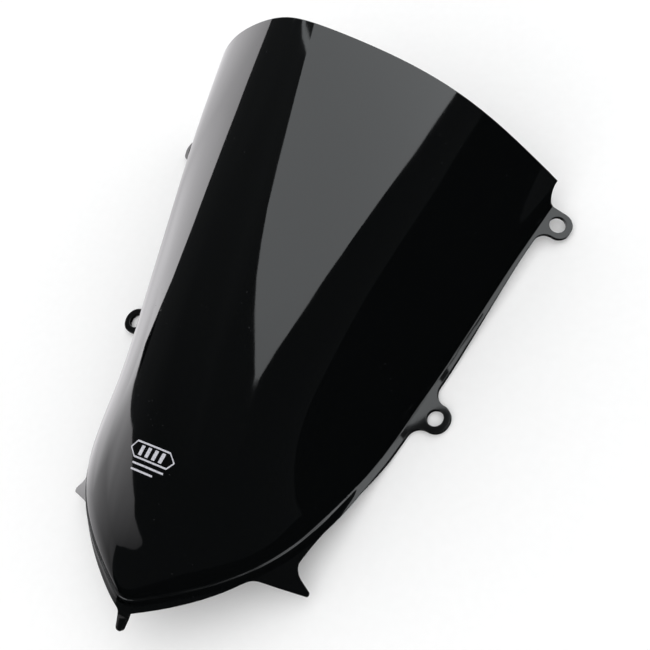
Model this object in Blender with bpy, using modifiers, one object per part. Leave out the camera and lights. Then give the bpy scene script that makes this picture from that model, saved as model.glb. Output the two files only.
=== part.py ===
"""Motorcycle racing windscreen: one formed acrylic sheet with a joggled front flange, four
drilled ears and three pointed tabs, and a thin printed badge on its nose.

Metres, +Z up. The screen lies convex side up on its ears, nose toward -Y, and is the same
on both sides of X = 0. A station is a distance along Y measured back from the dome's nose.
"""

import math

import bmesh
import bpy
from mathutils import Matrix, Vector

MM = 0.001

# Sheet
SHEET = 3.0 * MM
EDGE_ALLOWANCE = 6.0 * SHEET

# Foot line, where the dome meets its flange: a blunt nose that runs into straight sides
NOSE_SPREAD = 63.6 * MM
NOSE_DEPTH = 107.0 * MM
NOSE_POWER = 3.07
NOSE_RADIUS = 4.0 * MM
SIDE_SPLAY = 0.22

# Rear edge: dips in the middle, fullest over the shoulders
REAR_STATION = 309.3 * MM
REAR_BOW = 1.98
REAR_BOW_FALL = 80.1
REAR_CORNER_OUT = 0.5 * MM
REAR_CORNER_RADIUS = 1.0 * MM

# Ears and their holes
HOLE_RADIUS = 5.0 * MM
MIDDLE_EAR_STATION = 160.3 * MM
MIDDLE_EAR_ROOT = 7.3 * MM
MIDDLE_EAR_RIM = 3.9 * MM
REAR_EAR_SETBACK = 12.9 * MM
REAR_EAR_ROOT = 3.4 * MM
REAR_EAR_RIM = 3.3 * MM
EAR_FLAT = 15.0 * MM
EAR_FILLET = 10.0 * MM
REAR_EAR_FILLET_FRONT = 8.0 * MM
REAR_EAR_FILLET_REAR = 8.0 * MM
FILLET_RUN = 22.0 * MM

# Heights above the ears
NOSE_RISE = 31.0 * MM
FRONT_LIFT = 5.5 * MM
CROWN_RISE = 107.4 * MM
CROWN_POWER = 0.72

# Dome section, from nose to rear edge
ROUND_NOSE = 2.52
ROUND_REAR = 1.31
SHOULDER_NOSE = 0.85
SHOULDER_REAR = 0.70
FLARE_NOSE = 0.13
FLARE_REAR = 0.22
CROWN_SOFTNESS = 0.10

# Flange and joggle
FLANGE_NOSE = 6.0 * MM
FLANGE_CHEEK = 2.7 * MM
FLANGE_FRONT = 4.2 * MM
FLANGE_SIDE = 3.9 * MM
FLANGE_REAR = 2.5 * MM
JOGGLE_RUN = 2.0 * MM
JOGGLE_DROP = 2.0 * MM
JOGGLE_FADE_START = 70.0 * MM
JOGGLE_FADE_END = 130.0 * MM
BEND_OUT = 8.0 * MM
NOSE_FALL = 0.6
FRONT_FALL = 1.15
NOSE_TIP_FALL = 0.35
SIDE_TIP_FALL = 0.68
REAR_FALL = 0.384

# Pointed tabs
NOSE_TAB_LENGTH = 10.0 * MM
NOSE_TAB_BASE = 3.8 * MM
NOSE_TAB_TIP = 2.0 * MM
NOSE_TAB_FILLET = 2.5 * MM
SIDE_TAB_STATION = 43.0 * MM
SIDE_TAB_LENGTH = 24.4 * MM
SIDE_TAB_TIP_FRONT = 1.5 * MM
SIDE_TAB_TIP_REAR = 1.0 * MM
SIDE_TAB_ROOT_FRONT = 3.5 * MM
SIDE_TAB_ROOT_REAR = 12.0 * MM
SIDE_TAB_ROOT_OUT = 6.8 * MM
SIDE_TAB_FILLET_FRONT = 10.0 * MM
SIDE_TAB_FILLET_REAR = 8.0 * MM
TAB_TIP_RADIUS = 1.5 * MM

# Relief cut under each rear corner
CORNER_HEIGHT = 14.0 * MM
CORNER_CUT_BACK = 10.0 * MM
CORNER_EAR_GAP = 1.5 * MM
CORNER_LIP = 2.5 * MM

# Printed badge
BADGE_STATION = 73.5 * MM
BADGE_WIDTH = 30.0 * MM
BADGE_DEPTH = 9.0 * MM
BADGE_POINT = 4.0 * MM
BADGE_LINE = 0.9 * MM
BADGE_CORNER = 0.5 * MM
BADGE_BARS = 4
BADGE_BAR_WIDTH = 2.2 * MM
BADGE_BAR_SLANT = 1.6 * MM
BADGE_BAR_END_GAP = 1.3 * MM
BADGE_BAR_TIP_GAP = 0.9 * MM
BADGE_BAR_CORNER = 0.2 * MM
CAPTION_LENGTHS = (21.0 * MM, 15.0 * MM)
CAPTION_GAP = 2.56 * MM
CAPTION_STEP = 3.2 * MM
CAPTION_WIDTH = 1.0 * MM
FILM = 0.4 * MM
FILM_GAP = 0.45 * MM

# Fineness of the mesh
STATIONS = 34
COLUMNS = 32
CROWDING = 1.7
ARC_STEP = math.radians(15.0)
STRAIGHT_CORNER = math.radians(88.0)
HOLE_SIDES = 48
NOSE_EDGE_STEPS = 5
SIDE_EDGE_STEPS = 7
REAR_EDGE_STEPS = 16
CORNER_CUT_STEPS = 6
FILM_CELL = 3.0 * MM
FILM_MARGIN = 1.5 * MM
SLOPE_STEP = 0.1 * MM
LEAST_WIDTH = 0.01 * MM

# Sizes that follow from the ones above
MIDDLE_EAR_OUT = HOLE_RADIUS + MIDDLE_EAR_ROOT
MIDDLE_EAR_RADIUS = HOLE_RADIUS + MIDDLE_EAR_RIM
REAR_EAR_STATION = REAR_STATION - REAR_EAR_SETBACK
REAR_EAR_OUT = HOLE_RADIUS + REAR_EAR_ROOT
REAR_EAR_RADIUS = HOLE_RADIUS + REAR_EAR_RIM
REAR_TILT = math.atan(REAR_FALL)
# The rear ears' outer rims come down exactly as far as the middle ears' undersides
REAR_RIM_EXTRA = SHEET * (1.0 / math.cos(REAR_TILT) - 1.0) / REAR_FALL
REAR_FALL_REACH = REAR_EAR_OUT + REAR_EAR_RADIUS + REAR_RIM_EXTRA
FLANGE_BLANK = max(MIDDLE_EAR_OUT + 2.0 * MIDDLE_EAR_RADIUS, SIDE_TAB_LENGTH + EDGE_ALLOWANCE)
FRONT_END = -(FLANGE_NOSE + NOSE_TAB_LENGTH)


def smooth_step(start, end, value):
    """0 before start, 1 after end, and a smooth rise between them."""
    t = min(max((value - start) / (end - start), 0.0), 1.0)
    return t * t * (3.0 - 2.0 * t)


def mix(a, b, t):
    return a + (b - a) * t


def foot_half_width(station):
    """Half the width between the foot lines at a station."""
    s = max(station, 0.0)
    wedge = NOSE_SPREAD * (1.0 - max(1.0 - s / NOSE_DEPTH, 0.0) ** NOSE_POWER) + SIDE_SPLAY * s
    return math.sqrt(wedge * wedge + 2.0 * NOSE_RADIUS * s * max(1.0 - s / NOSE_DEPTH, 0.0))


def foot_normal(station):
    """Unit vector in plan, square to the right-hand foot line and pointing away from the dome."""
    if station <= 0.0:
        return Vector((0.0, -1.0))
    step = min(SLOPE_STEP, station)
    rise = foot_half_width(station + step) - foot_half_width(station - step)
    return Vector((2.0 * step, -rise)).normalized()


def front_share(station):
    """1 round the nose, where the flange is joggled, fading to 0 along the side."""
    return 1.0 - smooth_step(JOGGLE_FADE_START, JOGGLE_FADE_END, station)


def rear_share(station):
    """0 at the middle ears, 1 from just before the rear ears."""
    start = MIDDLE_EAR_STATION + EAR_FLAT
    return smooth_step(start, REAR_EAR_STATION - EAR_FLAT, station)


def base_height(station):
    """Height of the flange's outer edge: level along the sides, rising toward the nose."""
    start = MIDDLE_EAR_STATION - EAR_FLAT
    return NOSE_RISE * smooth_step(0.0, MIDDLE_EAR_STATION, start - station)


def foot_height(station):
    return (
        base_height(station)
        + FRONT_LIFT * front_share(station)
        + REAR_FALL * REAR_FALL_REACH * rear_share(station)
    )


def flange_height(station, out):
    """Height of the flange a distance out from the foot line, square to it."""
    front = front_share(station)
    beside = smooth_step(0.0, SIDE_TAB_STATION, station)
    joggle = JOGGLE_DROP * front * min(out / JOGGLE_RUN, 1.0)
    fall_near = mix(NOSE_FALL, FRONT_FALL, beside) * front * min(out, BEND_OUT)
    fall_far = mix(NOSE_TIP_FALL, SIDE_TIP_FALL, beside) * front * max(out - BEND_OUT, 0.0)
    fall_rear = REAR_FALL * rear_share(station) * out
    return foot_height(station) - joggle - fall_near - fall_far - fall_rear


def crown_height(station):
    return foot_height(0.0) + CROWN_RISE * (max(station, 0.0) / REAR_STATION) ** CROWN_POWER


def dome_height(x, station):
    """Height of the dome's outer surface over a point inside the foot line."""
    t = station / REAR_STATION
    u = min(abs(x) / max(foot_half_width(station), LEAST_WIDTH), 1.0)
    roundness = mix(ROUND_NOSE, ROUND_REAR, t)
    shoulder = mix(SHOULDER_NOSE, SHOULDER_REAR, t)
    flare = mix(FLARE_NOSE, FLARE_REAR, t)
    soft = CROWN_SOFTNESS**roundness
    away = (u * u + CROWN_SOFTNESS**2) ** (roundness / 2.0) - soft
    fullness = max(1.0 - away / ((1.0 + CROWN_SOFTNESS**2) ** (roundness / 2.0) - soft), 0.0)
    rise = fullness**shoulder - flare * 8.0 * u**6 * (1.0 - u)
    low = foot_height(station)
    return low + (crown_height(station) - low) * rise


def rear_edge_station(x):
    return REAR_STATION + REAR_BOW * x * x - REAR_BOW_FALL * x**4


REAR_WIDEST = math.sqrt(REAR_BOW / (2.0 * REAR_BOW_FALL))
REAR_END = rear_edge_station(min(REAR_WIDEST, foot_half_width(REAR_STATION)))
STATION_END = REAR_END + EDGE_ALLOWANCE
ORIGIN_STATION = (FRONT_END + REAR_END) / 2.0


def place(x, station, z):
    """World position of a point: the origin stands under the middle of the resting screen."""
    return Vector((x, station - ORIGIN_STATION, z + SHEET))


def make_material(name, color, roughness):
    material = bpy.data.materials.new(name)
    material.use_nodes = True
    shader = material.node_tree.nodes["Principled BSDF"]
    shader.inputs["Base Color"].default_value = (*color, 1.0)
    shader.inputs["Roughness"].default_value = roughness
    material.diffuse_color = (*color, 1.0)
    return material


def make_collection(name, hidden):
    collection = bpy.data.collections.new(name)
    collection.hide_render = hidden
    bpy.context.scene.collection.children.link(collection)
    return collection


def make_object(name, mesh, collection, material=None):
    obj = bpy.data.objects.new(name, mesh)
    collection.objects.link(obj)
    if material is not None:
        mesh.materials.append(material)
    return obj


def make_cutter(name, mesh, collection):
    cutter = make_object(name, mesh, collection)
    cutter.hide_render = True
    cutter.display_type = "WIRE"
    return cutter


def mesh_from_bmesh(name, shape):
    bmesh.ops.recalc_face_normals(shape, faces=shape.faces)
    mesh = bpy.data.meshes.new(name)
    shape.to_mesh(mesh)
    shape.free()
    return mesh


def cut(target, cutter, operation):
    modifier = target.modifiers.new(f"{operation.lower()}_{cutter.name}", "BOOLEAN")
    modifier.operation = operation
    modifier.solver = "EXACT"
    modifier.object = cutter


def thicken(target, thickness):
    modifier = target.modifiers.new("sheet_thickness", "SOLIDIFY")
    modifier.thickness = thickness
    modifier.offset = -1.0
    modifier.use_even_offset = True


def rounded_outline(corners):
    """Closed plan outline from (x, station, radius) corners, each radius swept as an arc."""
    points = []
    count = len(corners)
    for i, (x, station, radius) in enumerate(corners):
        here = Vector((x, station))
        to_last = Vector(corners[i - 1][:2]) - here
        to_next = Vector(corners[(i + 1) % count][:2]) - here
        reach = min(to_last.length, to_next.length)
        if radius <= 0.0 or reach == 0.0:
            points.append(here)
            continue
        to_last.normalize()
        to_next.normalize()
        half = to_last.angle(to_next) / 2.0
        if half > STRAIGHT_CORNER:
            points.append(here)
            continue
        back = min(radius / math.tan(half), 0.49 * reach)
        radius = back * math.tan(half)
        start = here + to_last * back
        middle = here + (to_last + to_next).normalized() * radius / math.sin(half)
        sweep = (here + to_next * back - middle).angle_signed(start - middle)
        steps = max(2, math.ceil(abs(sweep) / ARC_STEP))
        for k in range(steps + 1):
            turn = Matrix.Rotation(sweep * k / steps, 2)
            points.append(middle + turn @ (start - middle))
    return points


def outline_prism(name, outlines, low, high):
    """Solid between two heights whose plan is the first outline less the ones inside it."""
    curve = bpy.data.curves.new(name, "CURVE")
    curve.dimensions = "2D"
    curve.fill_mode = "BOTH"
    curve.extrude = (high - low) / 2.0
    for outline in outlines:
        spline = curve.splines.new("POLY")
        spline.points.add(len(outline) - 1)
        spline.use_cyclic_u = True
        for point, (x, station) in zip(spline.points, outline):
            flat = place(x, station, 0.0)
            point.co = (flat.x, flat.y, 0.0, 1.0)
    holder = bpy.data.objects.new(name, curve)
    mesh = bpy.data.meshes.new_from_object(holder)
    bpy.data.objects.remove(holder)
    bpy.data.curves.remove(curve)
    mesh.transform(Matrix.Translation((0.0, 0.0, (high + low) / 2.0)))
    shape = bmesh.new()
    shape.from_mesh(mesh)
    bpy.data.meshes.remove(mesh)
    bmesh.ops.remove_doubles(shape, verts=shape.verts, dist=0.001 * MM)
    return mesh_from_bmesh(name, shape)


def station_rows():
    """Stations of the mesh, close together at the nose."""
    return [STATION_END * (i / STATIONS) ** CROWDING for i in range(STATIONS + 1)]


def column_shares():
    """Shares of the half width across the dome, close together at the feet."""
    count = COLUMNS // 2
    half = [1.0 - (1.0 - i / count) ** CROWDING for i in range(count + 1)]
    return [-u for u in reversed(half[1:])] + half


def panel_surface():
    """Outer surface of dome and flange, wider and longer all round than the trimmed screen."""
    shape = bmesh.new()
    rows = station_rows()
    shares = column_shares()
    nose = shape.verts.new(place(0.0, 0.0, foot_height(0.0)))
    dome = [[nose] * len(shares)]
    for s in rows[1:]:
        width = foot_half_width(s)
        dome.append([shape.verts.new(place(u * width, s, dome_height(u * width, s))) for u in shares])
    for near, far in zip(dome, dome[1:]):
        for j in range(len(shares) - 1):
            corners = [near[j], near[j + 1], far[j + 1], far[j]]
            shape.faces.new(list(dict.fromkeys(corners)))
    right = []
    left = []
    for i, s in enumerate(rows):
        normal = foot_normal(s)
        for out_index, out in enumerate((JOGGLE_RUN, BEND_OUT, FLANGE_BLANK)):
            if out_index == 0:
                right.append([dome[i][-1]])
                left.append([dome[i][0]])
            x = foot_half_width(s) + out * normal.x
            y = s + out * normal.y
            z = flange_height(s, out)
            vert = shape.verts.new(place(x, y, z))
            right[-1].append(vert)
            left[-1].append(vert if i == 0 else shape.verts.new(place(-x, y, z)))
    for side in (right, left):
        for near, far in zip(side, side[1:]):
            for j in range(len(near) - 1):
                shape.faces.new([near[j], near[j + 1], far[j + 1], far[j]])
    bmesh.ops.recalc_face_normals(shape, faces=shape.faces)
    if sum(face.normal.z * face.calc_area() for face in shape.faces) < 0.0:
        bmesh.ops.reverse_faces(shape, faces=shape.faces)
    mesh = bpy.data.meshes.new("screen_panel")
    shape.to_mesh(mesh)
    shape.free()
    mesh.shade_smooth()
    return mesh


def flange_point(station, out):
    """Plan position a distance out from the right-hand foot line."""
    normal = foot_normal(station)
    return foot_half_width(station) + out * normal.x, station + out * normal.y


def ear_foot(station, out):
    """Station of the foot point that an ear centred at a station stands out from."""
    return station - out * foot_normal(station).y


def flange_run(start, end, out_start, out_end, steps):
    """Plan corners along the flange's edge between two stations."""
    run = []
    for i in range(steps + 1):
        t = i / steps
        run.append((*flange_point(mix(start, end, t), mix(out_start, out_end, t)), 0.0))
    return run


def ear_corners(station, out, radius, fillet_front, fillet_rear, out_front, out_rear):
    """Plan corners of a tongue with a round end, standing out square from the foot line."""
    out_to = foot_normal(station)
    along = Vector((-out_to.y, out_to.x))
    middle = Vector(flange_point(ear_foot(station, out), out))
    corners = []
    for side, edge, fillet in ((-1.0, out_front, fillet_front), (1.0, out_rear, fillet_rear)):
        inner = middle + along * side * radius - out_to * (out - edge)
        outer = middle + along * side * radius + out_to * radius
        pair = [(inner.x, inner.y, fillet), (outer.x, outer.y, 0.98 * radius)]
        corners += pair if side < 0.0 else pair[::-1]
    return corners


def half_outline():
    """Plan corners of the right half of the trimmed sheet, from the nose tab's tip to the rear."""
    corners = [
        (NOSE_TAB_TIP, FRONT_END, 0.9 * NOSE_TAB_TIP),
        (NOSE_TAB_BASE, -FLANGE_NOSE, NOSE_TAB_FILLET),
    ]
    root_front = SIDE_TAB_STATION - SIDE_TAB_ROOT_FRONT
    root_rear = SIDE_TAB_STATION + SIDE_TAB_ROOT_REAR
    cheek_end = root_front - SIDE_TAB_FILLET_FRONT / 2.0
    corners += flange_run(NOSE_TAB_BASE, cheek_end, FLANGE_NOSE, FLANGE_CHEEK, NOSE_EDGE_STEPS)
    tab_reach = foot_half_width(SIDE_TAB_STATION) + SIDE_TAB_LENGTH
    corners += [
        (*flange_point(root_front, FLANGE_CHEEK), SIDE_TAB_FILLET_FRONT),
        (tab_reach, SIDE_TAB_STATION - SIDE_TAB_TIP_FRONT, TAB_TIP_RADIUS),
        (tab_reach, SIDE_TAB_STATION + SIDE_TAB_TIP_REAR, TAB_TIP_RADIUS),
        (*flange_point(root_rear, SIDE_TAB_ROOT_OUT), SIDE_TAB_FILLET_REAR),
    ]
    ear_front = MIDDLE_EAR_STATION - MIDDLE_EAR_RADIUS
    ear_rear = MIDDLE_EAR_STATION + MIDDLE_EAR_RADIUS
    run_start = root_rear + FILLET_RUN
    run_end = max(ear_front - FILLET_RUN, run_start + FILLET_RUN / 2.0)
    corners += flange_run(run_start, run_end, FLANGE_CHEEK, FLANGE_FRONT, SIDE_EDGE_STEPS)
    corners += ear_corners(
        MIDDLE_EAR_STATION,
        MIDDLE_EAR_OUT,
        MIDDLE_EAR_RADIUS,
        EAR_FILLET,
        EAR_FILLET,
        FLANGE_FRONT,
        FLANGE_SIDE,
    )
    rear_front = REAR_EAR_STATION - REAR_EAR_RADIUS
    run_start = ear_rear + FILLET_RUN
    run_end = max(rear_front - FILLET_RUN, run_start + FILLET_RUN / 2.0)
    corners += flange_run(run_start, run_end, FLANGE_SIDE, FLANGE_REAR, 2)
    corners += ear_corners(
        REAR_EAR_STATION,
        REAR_EAR_OUT,
        REAR_EAR_RADIUS,
        REAR_EAR_FILLET_FRONT,
        REAR_EAR_FILLET_REAR,
        FLANGE_REAR,
        REAR_CORNER_OUT,
    )
    corner_x = foot_half_width(REAR_END) + REAR_CORNER_OUT
    corners.append((corner_x, rear_edge_station(corner_x), REAR_CORNER_RADIUS))
    for i in range(1, REAR_EDGE_STEPS):
        x = corner_x * (1.0 - i / REAR_EDGE_STEPS)
        corners.append((x, rear_edge_station(x), 0.0))
    return corners


def panel_outline():
    right = half_outline()
    left = [(-x, y, radius) for x, y, radius in reversed(right)]
    return rounded_outline(right + [(0.0, rear_edge_station(0.0), 0.0)] + left)


def hole_cutter(name, side, station, out, tilt, collection):
    """Cylinder square to an ear, tilt being how far the ear leans down and outward."""
    normal = foot_normal(station)
    foot = ear_foot(station, out)
    x, y = flange_point(foot, out)
    shape = bmesh.new()
    bmesh.ops.create_cone(
        shape,
        cap_ends=True,
        segments=HOLE_SIDES,
        radius1=HOLE_RADIUS,
        radius2=HOLE_RADIUS,
        depth=6.0 * SHEET,
    )
    up = Vector((math.sin(tilt) * normal.x, math.sin(tilt) * normal.y, math.cos(tilt)))
    up.x *= side
    turn = Vector((0.0, 0.0, 1.0)).rotation_difference(up).to_matrix().to_4x4()
    spot = place(side * x, y, flange_height(foot, out))
    bmesh.ops.transform(shape, matrix=Matrix.Translation(spot) @ turn, verts=shape.verts)
    return make_cutter(name, mesh_from_bmesh(name, shape), collection)


def corner_cutter(name, side, collection):
    """Wedge run across the sheet's lower rear corner, with a hollow slanting front face."""
    ear_rear = REAR_EAR_STATION + REAR_EAR_RADIUS
    front = ear_rear + CORNER_EAR_GAP
    top_y = REAR_END - CORNER_LIP
    profile = []
    low = foot_height(REAR_EAR_STATION)
    for i in range(CORNER_CUT_STEPS + 1):
        angle = math.pi / 2.0 * i / CORNER_CUT_STEPS
        y = front + (top_y - front) * (1.0 - math.cos(angle))
        z = low - SHEET + (CORNER_HEIGHT - low + SHEET) * math.sin(angle)
        profile.append((y, z))
    profile.append((REAR_END + CORNER_CUT_BACK, CORNER_HEIGHT + CORNER_CUT_BACK / 4.0))
    profile.append((REAR_END + CORNER_CUT_BACK, -CORNER_CUT_BACK))
    profile.append((front, -CORNER_CUT_BACK))
    inner = foot_half_width(ear_rear) - 5.0 * SHEET
    outer = foot_half_width(REAR_END) + 2.0 * REAR_EAR_RADIUS
    shape = bmesh.new()
    near = [shape.verts.new(place(side * inner, y, z)) for y, z in profile]
    face = shape.faces.new(near)
    swept = bmesh.ops.extrude_face_region(shape, geom=[face])
    moved = [v for v in swept["geom"] if isinstance(v, bmesh.types.BMVert)]
    bmesh.ops.translate(shape, vec=(side * (outer - inner), 0.0, 0.0), verts=moved)
    return make_cutter(name, mesh_from_bmesh(name, shape), collection)


def build_panel(pieces, cutters, material):
    panel = make_object("screen_panel", panel_surface(), pieces, material)
    thicken(panel, SHEET)
    top = crown_height(STATION_END) + 4.0 * SHEET
    trim = make_cutter(
        "trim_outline",
        outline_prism("trim_outline", [panel_outline()], -10.0 * SHEET, top),
        cutters,
    )
    cut(panel, trim, "INTERSECT")
    for side, word in ((1.0, "right"), (-1.0, "left")):
        for place_word, station, out, tilt in (
            ("middle", MIDDLE_EAR_STATION, MIDDLE_EAR_OUT, 0.0),
            ("rear", REAR_EAR_STATION, REAR_EAR_OUT, REAR_TILT),
        ):
            name = f"hole_{place_word}_{word}"
            cut(panel, hole_cutter(name, side, station, out, tilt, cutters), "DIFFERENCE")
        cut(panel, corner_cutter(f"corner_relief_{word}", side, cutters), "DIFFERENCE")
    return panel


def film_surface(name, outline):
    """Patch of the dome's surface, raised by the film and its gap, round a plan outline."""
    low_x = min(p[0] for p in outline) - FILM_MARGIN
    high_x = max(p[0] for p in outline) + FILM_MARGIN
    low_s = min(p[1] for p in outline) - FILM_MARGIN
    high_s = max(p[1] for p in outline) + FILM_MARGIN
    count_x = max(2, math.ceil((high_x - low_x) / FILM_CELL))
    count_s = max(2, math.ceil((high_s - low_s) / FILM_CELL))
    shape = bmesh.new()
    grid = []
    for i in range(count_s + 1):
        s = mix(low_s, high_s, i / count_s)
        row = []
        for j in range(count_x + 1):
            x = mix(low_x, high_x, j / count_x)
            row.append(shape.verts.new(place(x, s, dome_height(x, s) + FILM + FILM_GAP)))
        grid.append(row)
    for near, far in zip(grid, grid[1:]):
        for j in range(count_x):
            shape.faces.new([near[j], near[j + 1], far[j + 1], far[j]])
    mesh = bpy.data.meshes.new(name)
    shape.to_mesh(mesh)
    shape.free()
    return mesh


def build_film(name, outlines, pieces, cutters, material):
    film = make_object(name, film_surface(name, outlines[0]), pieces, material)
    thicken(film, FILM)
    high = crown_height(BADGE_STATION + BADGE_WIDTH) + 10.0 * SHEET
    trim = outline_prism(f"trim_{name}", outlines, 0.0, high)
    cut(film, make_cutter(f"trim_{name}", trim, cutters), "INTERSECT")
    return film


def badge_outline(inset):
    """Stretched hexagon, longer across the screen."""
    half_w = BADGE_WIDTH / 2.0 - inset
    half_d = BADGE_DEPTH / 2.0 - inset
    shoulder = half_w - BADGE_POINT * half_d * 2.0 / BADGE_DEPTH
    corners = []
    for x, y in ((half_w, 0.0), (shoulder, half_d), (-shoulder, half_d)):
        corners.append((x, BADGE_STATION + y, BADGE_CORNER))
    for x, y in ((-half_w, 0.0), (-shoulder, -half_d), (shoulder, -half_d)):
        corners.append((x, BADGE_STATION + y, BADGE_CORNER))
    return rounded_outline(corners)


def bar_outline(middle_x, station, width, depth, slant):
    half_w = width / 2.0
    half_d = depth / 2.0
    corners = [
        (middle_x - half_w - slant / 2.0, station - half_d, BADGE_BAR_CORNER),
        (middle_x + half_w - slant / 2.0, station - half_d, BADGE_BAR_CORNER),
        (middle_x + half_w + slant / 2.0, station + half_d, BADGE_BAR_CORNER),
        (middle_x - half_w + slant / 2.0, station + half_d, BADGE_BAR_CORNER),
    ]
    return rounded_outline(corners)


def build_badge(pieces, cutters):
    print_color = (0.55, 0.55, 0.60)
    rim = make_material("badge_outline", print_color, 0.4)
    build_film("badge_outline", [badge_outline(0.0), badge_outline(BADGE_LINE)], pieces, cutters, rim)
    bar_depth = BADGE_DEPTH - 2.0 * (BADGE_LINE + BADGE_BAR_TIP_GAP)
    row_width = BADGE_WIDTH - 2.0 * (BADGE_POINT + BADGE_LINE + BADGE_BAR_END_GAP)
    pitch = (row_width - BADGE_BAR_WIDTH - BADGE_BAR_SLANT) / (BADGE_BARS - 1)
    for i in range(BADGE_BARS):
        middle_x = (i - (BADGE_BARS - 1) / 2.0) * pitch
        outline = bar_outline(middle_x, BADGE_STATION, BADGE_BAR_WIDTH, bar_depth, BADGE_BAR_SLANT)
        name = f"badge_bar_{i + 1}"
        build_film(name, [outline], pieces, cutters, make_material(name, print_color, 0.4))
    for i, length in enumerate(CAPTION_LENGTHS):
        middle_x = (length - BADGE_WIDTH + 2.0 * BADGE_POINT) / 2.0
        station = BADGE_STATION - BADGE_DEPTH / 2.0 - CAPTION_GAP - CAPTION_STEP * i
        outline = bar_outline(middle_x, station, length, CAPTION_WIDTH, 0.0)
        name = f"badge_caption_{i + 1}"
        build_film(name, [outline], pieces, cutters, make_material(name, print_color, 0.4))


def main():
    for obj in list(bpy.data.objects):
        bpy.data.objects.remove(obj)
    pieces = make_collection("windshield_screen", False)
    cutters = make_collection("cutters", True)
    build_panel(pieces, cutters, make_material("black_acrylic", (0.006, 0.006, 0.007), 0.06))
    build_badge(pieces, cutters)


main()
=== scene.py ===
"""Motorcycle racing windscreen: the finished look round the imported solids.

One formed sheet of polished near-black acrylic, with a joggled front flange, four drilled
ears and three pointed tabs, and a small printed badge on its nose. Metres, +Z up. The screen
lies convex side up, nose toward -Y, and is the same on both sides of X = 0. A station is a
distance along Y measured back from the dome's nose.
"""

import logging
import math
from collections.abc import Iterable, Sequence
from dataclasses import dataclass, field, replace
from enum import Enum

import bpy
import numpy as np
from mathutils import Matrix, Vector
from mathutils.geometry import delaunay_2d_cdt


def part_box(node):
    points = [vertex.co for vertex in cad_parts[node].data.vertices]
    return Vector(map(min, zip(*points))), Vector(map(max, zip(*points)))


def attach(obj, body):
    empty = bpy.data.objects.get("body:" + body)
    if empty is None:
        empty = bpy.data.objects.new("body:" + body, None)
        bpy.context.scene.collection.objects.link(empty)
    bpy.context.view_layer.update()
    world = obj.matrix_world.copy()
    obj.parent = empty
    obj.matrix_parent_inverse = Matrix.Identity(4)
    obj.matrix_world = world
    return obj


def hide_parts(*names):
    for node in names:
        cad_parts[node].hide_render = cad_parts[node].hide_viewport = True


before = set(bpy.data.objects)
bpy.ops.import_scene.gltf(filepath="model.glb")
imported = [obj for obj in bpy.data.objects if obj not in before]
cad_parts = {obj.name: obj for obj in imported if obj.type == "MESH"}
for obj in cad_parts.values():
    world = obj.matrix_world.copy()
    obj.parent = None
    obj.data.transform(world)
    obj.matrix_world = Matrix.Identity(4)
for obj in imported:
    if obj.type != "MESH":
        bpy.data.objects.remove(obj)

LOG = logging.getLogger("windscreen")
MM = 0.001
ACRYLIC_IOR = 1.49
STRAIGHT_CORNER = math.radians(88.0)
MOST_OF_HALF_A_SIDE = 0.49

Array = np.ndarray
Corner = tuple[float, float, float]
Tint = tuple[float, float, float]


def smooth_step(start: float, end: float, value: Array | float) -> Array:
    """Rises smoothly from 0 before start to 1 after end.

    Args:
        start: Value where the rise begins.
        end: Value where the rise is complete.
        value: Values to shape.

    Returns:
        The shaped values, between 0 and 1.
    """
    t = np.clip((np.asarray(value, float) - start) / (end - start), 0.0, 1.0)
    return t * t * (3.0 - 2.0 * t)


def mix(a: Array | float, b: Array | float, t: Array | float) -> Array:
    """Straight mix from a to b."""
    return a + (b - a) * t


def unit(vectors: Array) -> Array:
    """Rows scaled to length 1."""
    return vectors / np.linalg.norm(vectors, axis=-1, keepdims=True)


def toward(azimuth: float, elevation: float) -> Vector:
    """Unit vector at an azimuth, turned from -Y to +X, and an elevation, both in radians."""
    flat = math.cos(elevation)
    return Vector((math.sin(azimuth) * flat, -math.cos(azimuth) * flat, math.sin(elevation)))


@dataclass(frozen=True)
class FootPoints:
    """Nearest points on the right-hand foot line, one for each point asked about."""

    station: Array
    x: Array
    y: Array
    out_x: Array
    out_y: Array
    out: Array


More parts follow.
